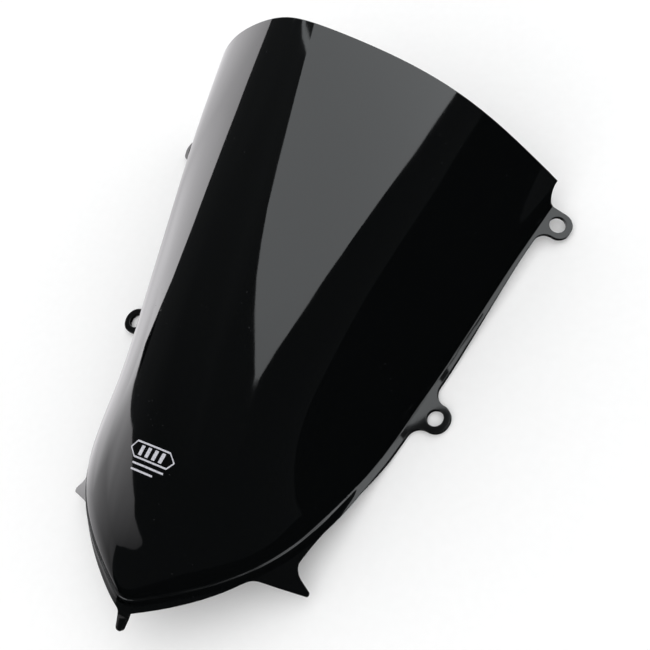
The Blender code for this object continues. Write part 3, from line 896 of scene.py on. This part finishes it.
    def half_outline(self) -> list[Corner]:
        """Plan corners of the right half, from the nose tab's tip to the rear edge."""
        form = self.blank
        length, base, tip = self.nose_tab
        corners: list[Corner] = [
            (tip, -self.flange_nose - length, self.tip_roundness * tip),
            (base, -self.flange_nose, self.nose_tab_fillet),
        ]
        root_front = form.side_tab_station - self.side_tab_root[0]
        root_rear = form.side_tab_station + self.side_tab_root[1]
        cheek_end = root_front - self.side_tab_fillets[0] / 2.0
        nose_steps, side_steps, rear_steps = self.run_steps
        corners += self.flange_run(
            base, cheek_end, self.flange_nose, self.flange_cheek, nose_steps
        )
        reach = float(form.half_width(form.side_tab_station)) + self.side_tab_length
        front = form.flange_point(root_front, self.flange_cheek)
        rear = form.flange_point(root_rear, self.side_tab_root_out)
        corners += [
            (front.x, front.y, self.side_tab_fillets[0]),
            (reach, form.side_tab_station - self.side_tab_tip[0], self.tab_tip_radius),
            (reach, form.side_tab_station + self.side_tab_tip[1], self.tab_tip_radius),
            (rear.x, rear.y, self.side_tab_fillets[1]),
        ]
        ear_front = form.middle_ear_station - form.middle_ear_radius
        ear_rear = form.middle_ear_station + form.middle_ear_radius
        run_start = root_rear + self.fillet_run
        run_end = ear_front - self.fillet_run
        corners += self.flange_run(
            run_start, run_end, self.flange_cheek, self.flange_front, side_steps
        )
        corners += self.ear_corners(
            form.middle_ear_station,
            form.middle_ear_out,
            form.middle_ear_radius,
            (self.ear_fillet, self.ear_fillet),
            (self.flange_front, self.flange_side),
        )
        rear_front = form.rear_ear_station - form.rear_ear_radius
        run_start, run_end = ear_rear + self.fillet_run, rear_front - self.fillet_run
        corners += self.flange_run(
            run_start, run_end, self.flange_side, self.flange_rear, rear_steps
        )
        corners += self.ear_corners(
            form.rear_ear_station,
            form.rear_ear_out,
            form.rear_ear_radius,
            self.rear_ear_fillets,
            (self.flange_rear, self.rear_ear_edge),
        )
        relief = self.corner_relief()
        corners += relief
        for k in range(1, self.rear_steps):
            x = relief[-1][0] * (1.0 - k / self.rear_steps)
            corners.append((x, float(form.rear_edge(x)), 0.0))
        return corners

    def outline(self) -> Array:
        """The whole plan outline, evenly set with points."""
        right = self.half_outline()
        left = [(-x, y, radius) for x, y, radius in reversed(right)]
        middle = (0.0, float(self.blank.rear_edge(0.0)), 0.0)
        points = rounded_outline([*right, middle, *left], self.arc_step)
        loop = np.array([tuple(p) for p in points])
        gaps = np.linalg.norm(loop - np.roll(loop, 1, axis=0), axis=1)
        return close_set(loop[gaps > self.least_gap], self.edge_spacing)

    def holes(self) -> list[Array]:
        """Plan loops of the four ear holes, oval where an ear leans."""
        form, loops = self.blank, []
        turn = np.linspace(0.0, 2.0 * math.pi, self.hole_points, endpoint=False)
        for station, out, tilt in (
            (form.middle_ear_station, form.middle_ear_out, 0.0),
            (form.rear_ear_station, form.rear_ear_out, form.rear_tilt),
        ):
            middle, away = self.ear_middle(station, out), form.out_direction(station)
            across = form.hole_radius * math.cos(tilt) * np.cos(turn)
            along = form.hole_radius * np.sin(turn)
            x = middle.x + across * away.x - along * away.y
            y = middle.y + across * away.y + along * away.x
            loops += [np.stack([x, y], axis=1), np.stack([-x, y], axis=1)]
        return loops

    def inner_points(self, outline: Array, holes: Sequence[Array]) -> Array:
        """Plan points between the edges: even rows on the dome, close ones along the foot bends."""
        points = np.concatenate([self.grid_points(), *self.bend_points()])
        true_out = self.form.nearest_foot(points[:, 0], points[:, 1]).out
        behind, beside = self.nose_fold
        folded = (points[:, 1] < behind) & (np.abs(points[:, 0]) < beside) & (true_out < 0.0)
        points = points[~folded & inside_loop(points, outline)]
        least = self.edge_radius + self.edge_clear
        clear = distance_to_loop(points, outline) > least
        for hole in holes:
            clear &= ~inside_loop(points, hole)
            clear &= distance_to_loop(points, hole) > least
        return points[clear]

    def grid_points(self) -> Array:
        """Plan points in staggered rows over the dome and the flat of the flange."""
        form, rows = self.form, []
        for spacing in (self.dome_spacing, self.flange_spacing):
            stations = np.arange(self.grid_front, form.rear_end, spacing * self.row_ratio)
            for k, station in enumerate(stations):
                x = np.arange(-self.grid_half, self.grid_half, spacing)
                x = x + (0.5 * spacing if k % 2 else 0.0)
                here, size = np.full(len(x), station), np.full(len(x), spacing)
                rows.append(np.stack([x, here, size], axis=1))
        grid = np.concatenate(rows)
        grid = grid[np.abs(grid[:, 0]) < form.half_width(grid[:, 1]) + self.grid_beside]
        out = form.nearest_foot(grid[:, 0], grid[:, 1]).out
        on_dome = (grid[:, 2] == self.dome_spacing) & (out < self.grid_clear[0])
        on_flange = (grid[:, 2] == self.flange_spacing) & (out > self.grid_clear[1])
        return grid[on_dome | on_flange][:, :2]

    def bend_points(self) -> list[Array]:
        """Plan points in close rows beside the foot line, where the sheet bends."""
        form, kept = self.form, []
        roots = np.sqrt(np.arange(0.0, form.rear_end, self.walk_step))
        foot_x, foot_y = form.foot_at(roots)
        strides = np.hypot(np.diff(foot_x), np.diff(foot_y))
        walked = np.concatenate([[0.0], np.cumsum(strides)])
        for out_at in self.bend_rows:
            step = (self.bend_step[0] + self.bend_step[1] * abs(out_at)) * MM
            picked = np.interp(np.arange(0.5 * step, walked[-1], step), walked, roots)
            near = form.nearest_foot(*form.foot_at(picked))
            x = near.x + out_at * MM * near.out_x
            y = near.y + out_at * MM * near.out_y
            ok = x > self.middle_clear * step
            kept += [np.stack([s * x[ok], y[ok]], axis=1) for s in (1.0, -1.0)]
            if out_at >= 0.0:
                kept.append(np.array([[0.0, -out_at * MM]]))
        return kept

    def build(self, faces: PolishedAcrylic, edges: RoutedEdge) -> bpy.types.Object:
        """Makes the sheet, dresses it and stands it in for its solid.

        Args:
            faces: Finish of both faces.
            edges: Finish of the cut edges.

        Returns:
            The finished piece.
        """
        outline, holes = self.outline(), self.holes()
        plate = SkinnedPlate(self.form, self.origin, self.form.sheet, self.edge_radius)
        mesh = plate.mesh("formed_sheet", outline, holes, self.inner_points(outline, holes))
        piece = show("formed_sheet", mesh, [faces.material(), edges.material()])
        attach(piece, "root")
        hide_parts("screen_panel")
        return piece


@dataclass
class NoseBadge:
    """Printed badge on the nose: a stretched hexagon round slanted bars, over two caption lines."""

    form: ScreenForm
    origin: Vector
    station: float = 73.5 * MM
    width: float = 30.0 * MM
    depth: float = 9.0 * MM
    point: float = 4.0 * MM
    line: float = 0.9 * MM
    corner: float = 0.5 * MM
    bars: int = 4
    bar_width: float = 2.2 * MM
    bar_slant: float = 1.6 * MM
    bar_end_gap: float = 1.3 * MM
    bar_tip_gap: float = 0.9 * MM
    bar_corner: float = 0.2 * MM
    captions: tuple[float, ...] = (21.0 * MM, 15.0 * MM)
    caption_gap: float = 2.56 * MM
    caption_step: float = 3.2 * MM
    caption_width: float = 1.0 * MM
    film: float = 0.08 * MM
    film_gap: float = 0.03 * MM
    film_edge: float = 0.02 * MM
    arc_step: float = math.radians(30.0)
    edge_spacing: float = 1.2 * MM
    grid_spacing: float = 1.1 * MM
    grid_clear: float = 0.25 * MM

    def hexagon(self, inset_by: float) -> Array:
        """Plan loop of the stretched hexagon."""
        half_w, half_d = self.width / 2.0 - inset_by, self.depth / 2.0 - inset_by
        shoulder = half_w - self.point * half_d * 2.0 / self.depth
        spots = ((half_w, 0.0), (shoulder, half_d), (-shoulder, half_d))
        spots += ((-half_w, 0.0), (-shoulder, -half_d), (shoulder, -half_d))
        corners = [(x, self.station + y, self.corner) for x, y in spots]
        return self.loop(corners)

    def bar(self, middle: float, station: float, width: float, depth: float, slant: float) -> Array:
        """Plan loop of a bar, leaning by its slant."""
        half_w, half_d = width / 2.0, depth / 2.0
        spots = ((-half_w, -half_d), (half_w, -half_d), (half_w, half_d), (-half_w, half_d))
        corners = [(middle + x + slant * y / depth, station + y, self.bar_corner) for x, y in spots]
        return self.loop(corners)

    def loop(self, corners: Sequence[Corner]) -> Array:
        """Rounds the corners and sets points along the sides."""
        points = rounded_outline(corners, self.arc_step)
        return close_set(np.array([tuple(p) for p in points]), self.edge_spacing)

    def printed(
        self, name: str, outline: Array, holes: Sequence[Array], ink: bpy.types.Material
    ) -> bpy.types.Object:
        """Makes one patch of ink and stands it in for its solid.

        Args:
            name: Name of the solid that it stands for.
            outline: Plan loop of its edge.
            holes: Plan loops of its holes.
            ink: Its material.

        Returns:
            The finished piece.
        """
        plate = SkinnedPlate(
            self.form,
            self.origin,
            thickness=self.film,
            edge_radius=self.film_edge,
            raise_by=self.film + self.film_gap,
            edge_steps=1,
            soften_under=1.0,
        )
        low, high = outline.min(axis=0), outline.max(axis=0)
        columns = np.arange(low[0], high[0], self.grid_spacing)
        rows = np.arange(low[1], high[1], self.grid_spacing)
        grid = np.array([(x, y) for x in columns for y in rows])
        keep = inside_loop(grid, outline) & (distance_to_loop(grid, outline) > self.grid_clear)
        for hole in holes:
            keep &= ~inside_loop(grid, hole) & (distance_to_loop(grid, hole) > self.grid_clear)
        piece = show(f"ink_{name}", plate.mesh(name, outline, holes, grid[keep]), [ink, ink])
        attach(piece, "root")
        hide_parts(name)
        return piece

    def build(self, finish: BadgeInk) -> list[bpy.types.Object]:
        """Prints the whole badge.

        Args:
            finish: Its ink.

        Returns:
            The patches of ink.
        """
        ink = finish.material()
        pieces = [self.printed("badge_outline", self.hexagon(0.0), [self.hexagon(self.line)], ink)]
        bar_depth = self.depth - 2.0 * (self.line + self.bar_tip_gap)
        row_width = self.width - 2.0 * (self.point + self.line + self.bar_end_gap)
        pitch = (row_width - self.bar_width - self.bar_slant) / (self.bars - 1)
        for k in range(self.bars):
            middle = (k - (self.bars - 1) / 2.0) * pitch
            loop = self.bar(middle, self.station, self.bar_width, bar_depth, self.bar_slant)
            pieces.append(self.printed(f"badge_bar_{k + 1}", loop, [], ink))
        for k, length in enumerate(self.captions):
            middle = (length - self.width + 2.0 * self.point) / 2.0
            station = self.station - self.depth / 2.0 - self.caption_gap - self.caption_step * k
            loop = self.bar(middle, station, length, self.caption_width, 0.0)
            pieces.append(self.printed(f"badge_caption_{k + 1}", loop, [], ink))
        return pieces


class Facing(Enum):
    """Where a light panel stands: its azimuth and elevation in degrees and its distance."""

    FLANK = (95.0, 50.0, 1.054)
    OVERHEAD = (0.0, 90.0, 2.6)
    FAR_SIDE = (-90.0, 0.0, 1.2)
    CEILING = (0.0, 90.0, 6.0)

    def frame(self) -> tuple[Vector, Vector, Vector]:
        """Middle of the panel's plane, and the plane's right and up directions."""
        azimuth, elevation, distance = self.value
        turn = math.radians(azimuth)
        away = toward(turn, math.radians(elevation))
        right = Vector((math.cos(turn), math.sin(turn), 0.0))
        return away * distance, right, away.cross(right)


@dataclass(frozen=True)
class GlowPanel:
    """A flat diffuser whose glow is set at points, seen only as a shape in polished surfaces."""

    name: str
    facing: Facing
    rim: tuple[Corner, ...]
    inner: tuple[Corner, ...] = ()
    tint: Tint = (0.965, 1.0, 1.02)

    def build(self) -> bpy.types.Object:
        """Makes the panel: each point is (right, up, glow), in metres on the panel's plane."""
        middle, right, up = self.facing.frame()
        points = [*self.rim, *self.inner]
        edges = [(k, (k + 1) % len(self.rim)) for k in range(len(self.rim))]
        flat, _, faces, origins, _, _ = delaunay_2d_cdt(
            [Vector(p[:2]) for p in points], edges, [], 0, 1e-6, True
        )
        middles = np.array([[sum(flat[k][axis] for k in f) / 3.0 for axis in (0, 1)] for f in faces])
        inside = inside_loop(middles, np.array(self.rim)[:, :2])
        faces = [f for f, kept in zip(faces, inside) if kept]
        mesh = bpy.data.meshes.new(self.name)
        mesh.from_pydata([middle + right * p.x + up * p.y for p in flat], [], faces)
        glow = mesh.attributes.new("glow", "FLOAT", "POINT")
        glow.data.foreach_set("value", [points[group[0]][2] for group in origins])
        material = bpy.data.materials.new(self.name)
        material.use_nodes = True
        material.node_tree.nodes.clear()
        nodes = Nodes(material.node_tree)
        level = nodes.add("Attribute", attribute_name="glow")
        light = nodes.add("Emission", {"Strength": level.outputs["Fac"]}, Color=(*self.tint, 1.0))
        nodes.add("OutputMaterial", {"Surface": light.outputs[0]})
        panel = show(self.name, mesh, [material])
        panel.visible_camera = False
        panel.visible_diffuse = False
        panel.visible_shadow = False
        return panel


@dataclass
class Studio:
    """Plain pale floor, soft light and the camera."""

    azimuth: float = 57.135
    elevation: float = 57.673
    roll: float = -36.236
    eye: tuple[float, float, float] = (0.27503, -0.12101, 0.47945)
    lens: float = 49.9
    floor_size: float = 40.0
    world_glow: float = 1.12
    panels: tuple[GlowPanel, ...] = field(default_factory=tuple)

    def camera(self) -> bpy.types.Object:
        """Sets the camera, turned about its own axis by the roll."""
        camera = bpy.data.objects.new("camera", bpy.data.cameras.new("camera"))
        bpy.context.scene.collection.objects.link(camera)
        back = toward(math.radians(self.azimuth), math.radians(self.elevation))
        aim = (-back).to_track_quat("-Z", "Y").to_matrix().to_4x4()
        spin = Matrix.Rotation(math.radians(self.roll), 4, "Z")
        camera.matrix_world = Matrix.Translation(self.eye) @ aim @ spin
        camera.data.lens = self.lens
        camera.data.sensor_width = 36.0
        camera.data.clip_start = 0.01
        camera.data.clip_end = 100.0
        bpy.context.scene.camera = camera
        return camera

    def floor(self, finish: PaperFloor) -> bpy.types.Object:
        """Lays the floor just under the screen."""
        half = self.floor_size / 2.0
        mesh = bpy.data.meshes.new("floor")
        corners = [(x * half, y * half, 0.0) for x, y in ((-1, -1), (1, -1), (1, 1), (-1, 1))]
        mesh.from_pydata(corners, [], [(0, 1, 2, 3)])
        floor = show("floor", mesh, [finish.material()])
        floor.location.z = -0.1 * MM
        floor.visible_glossy = False
        return floor

    def world(self) -> None:
        """Lights the floor from all round, without showing in polished surfaces."""
        world = bpy.data.worlds.new("studio")
        bpy.context.scene.world = world
        world.use_nodes = True
        backdrop = world.node_tree.nodes["Background"]
        backdrop.inputs["Color"].default_value = (1.0, 1.0, 1.0, 1.0)
        backdrop.inputs["Strength"].default_value = self.world_glow
        world.cycles_visibility.glossy = False

    def build(self) -> None:
        """Sets up everything that isn't the screen."""
        self.camera()
        self.floor(PaperFloor())
        self.world()
        for panel in self.panels:
            panel.build()
        bpy.context.scene.view_settings.view_transform = "Standard"


PANELS: tuple[GlowPanel, ...] = (
    GlowPanel(
        "flank_light",
        Facing.FLANK,
        (
            (2.20, 0.795, 2.45), (0.31, 0.670, 2.45), (0.17, 0.660, 2.4), (0.03, 0.630, 2.35),
            (-0.06, 0.590, 2.3), (-0.13, 0.520, 2.3), (-0.19, 0.430, 2.25), (-0.25, 0.295, 2.2),
            (-0.295, 0.155, 2.1), (-0.32, 0.042, 2.05), (-0.333, -0.035, 2.0),
            (-0.325, -0.093, 2.0), (-0.283, -0.167, 2.05), (-0.22, -0.245, 2.15),
            (-0.124, -0.350, 2.2), (-0.037, -0.440, 2.25), (0.041, -0.495, 2.3),
            (0.134, -0.545, 2.4), (0.242, -0.599, 2.5), (0.426, -0.667, 2.8), (2.20, -1.055, 2.8),
        ),
    ),
    GlowPanel(
        "overhead_light",
        Facing.OVERHEAD,
        (
            (-6.00, 2.40, 2.4), (-4.00, 1.60, 2.6), (-3.00, 1.20, 2.6), (-1.30, 1.00, 2.6),
            (-1.30, 0.60, 2.6), (-0.87, 0.645, 2.6), (-0.845, 0.665, 2.5), (-0.778, 0.752, 2.4),
            (-0.712, 0.760, 2.4), (-0.705, 0.63, 2.6), (-0.46, 0.52, 2.6), (-0.40, 0.545, 2.6),
            (-0.40, 0.62, 2.6), (0.56, 0.62, 2.6), (0.56, 0.47, 2.6), (1.40, 0.90, 2.6),
            (6.00, 1.20, 2.4), (6.00, 8.00, 2.4), (-6.00, 8.00, 2.4),
        ),
    ),
    GlowPanel(
        "overhead_strip",
        Facing.OVERHEAD,
        (
            (-0.46, 0.52, 2.6), (-0.40, 0.50, 2.6), (-0.10, 0.45, 2.6), (0.31, 0.432, 2.6),
            (0.50, 0.44, 2.6), (0.56, 0.47, 2.6), (0.56, 0.56, 2.6), (0.31, 0.482, 2.6),
            (-0.10, 0.495, 2.6), (-0.40, 0.545, 2.6),
        ),
    ),
    GlowPanel(
        "far_side_light",
        Facing.FAR_SIDE,
        (
            (-1.50, 0.44, 2.0), (-0.60, 0.44, 2.2), (-0.36, 0.44, 2.7), (-0.248, 0.406, 3.3),
            (-0.115, 0.351, 3.7), (-0.015, 0.273, 4.2), (0.036, 0.146, 4.4), (0.065, 0.05, 4.2),
            (0.149, 0.133, 3.4), (0.206, 0.21, 3.0), (0.303, 0.348, 2.8), (0.513, 0.648, 2.2),
            (0.727, 0.865, 1.8), (0.95, 1.043, 1.4), (1.207, 1.23, 1.1), (1.397, 1.297, 0.8),
            (1.682, 1.482, 0.6), (2.085, 1.77, 0.4), (2.21, 1.80, 0.3), (1.94, 1.45, 0.3),
            (1.505, 1.01, 0.35), (1.24, 0.69, 0.4), (1.21, 0.45, 0.4), (1.187, 0.205, 0.33),
            (1.15, -0.30, 0.22), (1.00, -1.20, 0.1), (0.90, -2.20, 0.0), (0.20, -3.50, 0.2),
            (-1.50, -3.50, 0.2),
        ),
        (
            (-0.50, -0.08, 1.6), (-0.10, -0.08, 3.0), (0.15, -0.08, 2.6), (-0.50, -0.58, 1.0),
            (0.00, -0.58, 1.7), (0.40, 0.10, 1.2), (0.75, 0.34, 0.9), (1.00, 0.52, 0.62),
            (0.40, -0.45, 0.7), (0.75, -0.05, 0.5), (1.00, 0.15, 0.33), (-0.50, -1.30, 0.5),
            (0.10, -1.30, 0.6), (0.60, -1.30, 0.2),
        ),
        (1.0, 0.985, 1.01),
    ),
    GlowPanel(
        "ceiling_glow",
        Facing.CEILING,
        (
            (-60.0, 60.0, 0.16), (-60.0, -60.0, 0.03), (60.0, -60.0, 0.025), (60.0, 60.0, 0.08),
        ),
        (
            (-2.0, 0.0, 0.085), (0.0, 1.5, 0.13), (3.0, 1.0, 0.07), (-8.0, 0.0, 0.08),
            (0.0, -4.0, 0.03), (-4.0, -4.0, 0.03), (6.0, -3.0, 0.03),
        ),
    ),
)


def main() -> None:
    """Builds the screen, its badge and the studio, and reports each piece."""
    logging.basicConfig(level=logging.INFO, format="%(name)s: %(message)s")
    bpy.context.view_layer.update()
    form = ScreenForm()
    panel_low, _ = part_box("screen_panel")
    sheet = FormedSheet(form, replace(form, nose_blunting=0.0), Vector((0.0, 0.0, 0.0)))
    nose_tip = -sheet.flange_nose - sheet.nose_tab[0]
    origin = Vector((0.0, panel_low.y - nose_tip, form.sheet))
    sheet.origin = origin
    pieces = [sheet.build(PolishedAcrylic(), RoutedEdge())]
    pieces += NoseBadge(form, origin).build(BadgeInk())
    Studio(panels=PANELS).build()
    for piece in pieces:
        LOG.info("%s: %d faces", piece.name, len(piece.data.polygons))


if __name__ == "__main__":
    main()
